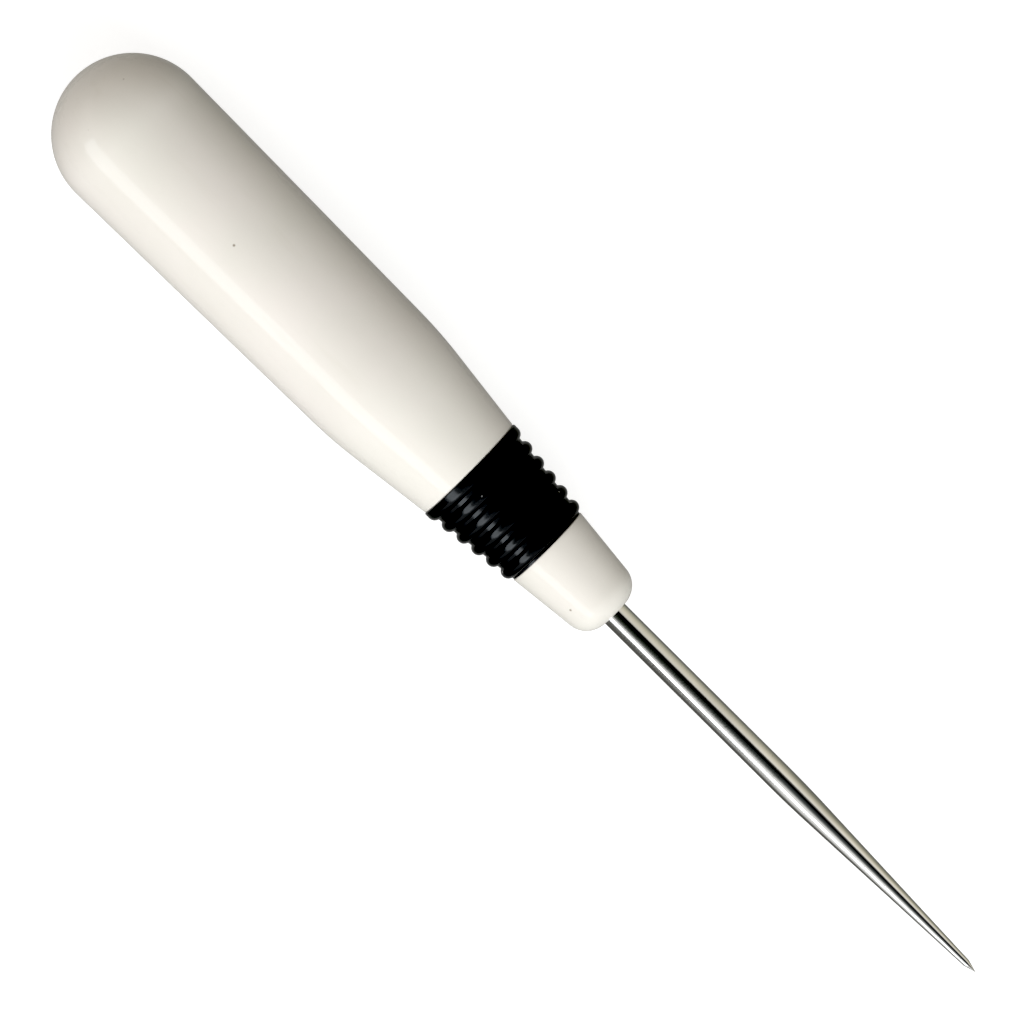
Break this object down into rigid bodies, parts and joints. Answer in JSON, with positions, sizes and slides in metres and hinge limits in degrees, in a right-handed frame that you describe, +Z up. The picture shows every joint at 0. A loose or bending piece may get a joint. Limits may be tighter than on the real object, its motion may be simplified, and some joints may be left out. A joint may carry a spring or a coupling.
{
  "type": "scratch awl",
  "caption": "Scratch awl: polished round steel blade with a long fine point in a smooth pill-shaped plastic handle, with a ribbed rubber ring and a tapered nose.",
  "frame": {"origin": "on the awl's axis, halfway between the butt and the point", "axes": "+X along the awl's axis towards the point; +Z up and +Y to the left when looking towards the point, which only the pinched tang inside the handle tells apart"},
  "size_m": [0.15, 0.0192, 0.0192],
  "materials": {
    "handle_plastic": "polished ivory-coloured plastic",
    "nose_plastic": "polished ivory-coloured plastic",
    "ring_rubber": "smooth black moulded rubber",
    "blade_steel": "mirror-polished hardened steel"
  },
  "bodies": {
    "root": {"handle": "handle_plastic", "grip_ring": "ring_rubber", "nose": "nose_plastic", "blade": "blade_steel"}
  },
  "joints": []
}
